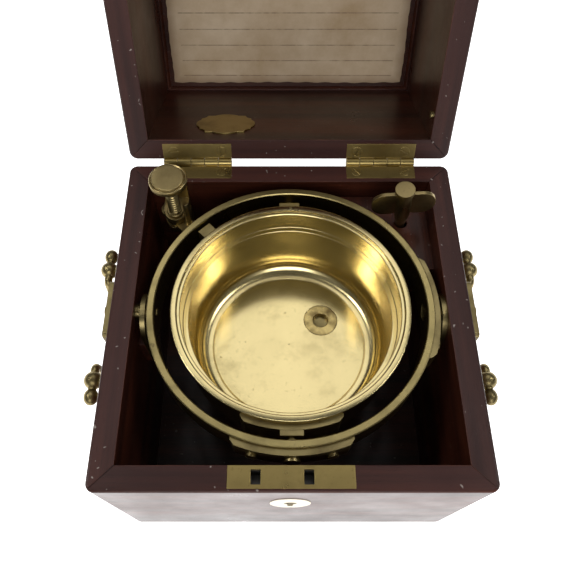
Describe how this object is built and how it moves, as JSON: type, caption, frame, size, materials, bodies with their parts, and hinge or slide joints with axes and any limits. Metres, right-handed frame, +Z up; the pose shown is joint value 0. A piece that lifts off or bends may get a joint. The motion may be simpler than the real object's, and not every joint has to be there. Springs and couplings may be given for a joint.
{
  "type": "marine chronometer",
  "caption": "Marine chronometer case with its lid open: mahogany box, empty brass bowl hung in gimbals, gimbal lock, winding key, box lock and drop handles.",
  "frame": {"origin": "centre of the underside of the case's base", "axes": "+X to the right and -Y to the front, where the box lock is, +Z up"},
  "size_m": [0.2136, 0.3442, 0.2759],
  "materials": {
    "mahogany": "waxed and dusty",
    "bowl_brass": "lacquered, bright",
    "fitting_brass": "dull, tarnished",
    "lock_brass": "worn",
    "screw_brass": "dull",
    "steel": "greyed",
    "bone": "polished, yellowed bone",
    "card": "matt, aged"
  },
  "bodies": {
    "case": {"front_board": "mahogany", "right_board": "mahogany", "back_board": "mahogany", "left_board": "mahogany", "base_board": "mahogany", "left_hinge_case_leaf": "fitting_brass", "right_hinge_case_leaf": "fitting_brass", "hinge_pins": "steel", "case_hinge_screws": "screw_brass", "lock_plate": "fitting_brass", "lock_case": "steel", "escutcheon": "bone", "left_gimbal_bracket": "fitting_brass", "right_gimbal_bracket": "fitting_brass", "left_bracket_packing": "mahogany", "left_ring_pivot": "fitting_brass", "right_ring_pivot": "fitting_brass", "case_screws": "fitting_brass", "lock_bracket": "lock_brass", "key_block": "mahogany", "handle_eyes": "fitting_brass", "side_plates": "fitting_brass"},
    "lid": {"lid_front_board": "mahogany", "lid_right_board": "mahogany", "lid_back_board": "mahogany", "lid_left_board": "mahogany", "lid_top_panel": "mahogany", "certificate_card": "card", "card_moulding": "mahogany", "lid_plaque": "bone", "lid_stud": "fitting_brass", "striker_plate": "fitting_brass", "lid_hinge_screws": "screw_brass", "left_hinge_lid_leaf": "fitting_brass", "right_hinge_lid_leaf": "fitting_brass"},
    "lock_bolt": {"lock_bolt": "steel"},
    "gimbal_ring": {"gimbal_ring": "fitting_brass", "front_ring_plate": "fitting_brass", "right_ring_plate": "fitting_brass", "ring_plate_screws": "fitting_brass", "front_bowl_pivot": "fitting_brass", "back_bowl_pivot": "fitting_brass"},
    "bowl": {"bowl": "bowl_brass", "winding_bush": "bowl_brass", "front_bowl_plate": "fitting_brass", "back_bowl_plate": "fitting_brass", "bowl_plate_screws": "fitting_brass", "bowl_lock_lug": "fitting_brass", "shutter_stud": "fitting_brass", "shutter_spring": "steel"},
    "winding_shutter": {"winding_shutter": "fitting_brass"},
    "lock_arm": {"lock_arm": "lock_brass", "lock_arm_pin": "lock_brass"},
    "clamp_knob": {"clamp_knob": "lock_brass"},
    "winding_key": {"key_wings": "lock_brass"},
    "key_pipe": {"key_pipe": "lock_brass"},
    "left_bail": {"left_bail": "fitting_brass"},
    "right_bail": {"right_bail": "fitting_brass"}
  },
  "joints": [
    {"name": "lid", "type": "hinge", "parent": "case", "child": "lid", "pos_m": [0, 0.0944, 0.1041], "axis": [1, 0, 0], "range_deg": [0, 113.2]},
    {"name": "gimbal_ring_tilt", "type": "hinge", "parent": "case", "child": "gimbal_ring", "pos_m": [0, 0, 0.097], "axis": [1, 0, 0], "range_deg": [-30, 30]},
    {"name": "bowl_tilt", "type": "hinge", "parent": "gimbal_ring", "child": "bowl", "pos_m": [0, 0, 0.097], "axis": [0, -1, 0], "range_deg": [-30, 30]},
    {"name": "shutter_turn", "type": "hinge", "parent": "bowl", "child": "winding_shutter", "pos_m": [0, 0, 0.051], "axis": [0, 0, 1], "range_deg": [0, 62], "stiffness_Nm_per_rad": 0.01, "springref_deg": -20.05},
    {"name": "clamp_screw_turn", "type": "hinge", "parent": "case", "child": "clamp_knob", "pos_m": [-0.066, 0.0685, 0.112], "axis": [0, 0, 1], "range_deg": [0, 270]},
    {"name": "lock_arm_slide", "type": "slide", "parent": "case", "child": "lock_arm", "axis": [0.6938, -0.7201, 0], "range_m": [0, 0.008]},
    {"name": "key_lift", "type": "slide", "parent": "case", "child": "winding_key", "axis": [-0.0906, -0.0104, 0.9958], "range_m": [0, 0.045]},
    {"name": "key_pipe_turn", "type": "hinge", "parent": "winding_key", "child": "key_pipe", "pos_m": [0.0644, 0.06158, 0.09], "axis": [-0.0906, -0.0104, 0.9958], "continuous": true},
    {"name": "left_bail_swing", "type": "hinge", "parent": "case", "child": "left_bail", "pos_m": [-0.102, 0, 0.084], "axis": [0, 1, 0], "range_deg": [0, 100]},
    {"name": "right_bail_swing", "type": "hinge", "parent": "case", "child": "right_bail", "pos_m": [0.102, 0, 0.084], "axis": [0, -1, 0], "range_deg": [0, 100]},
    {"name": "lock_bolt_slide", "type": "slide", "parent": "case", "child": "lock_bolt", "axis": [1, 0, 0], "range_m": [0, 0.0045]}
  ]
}
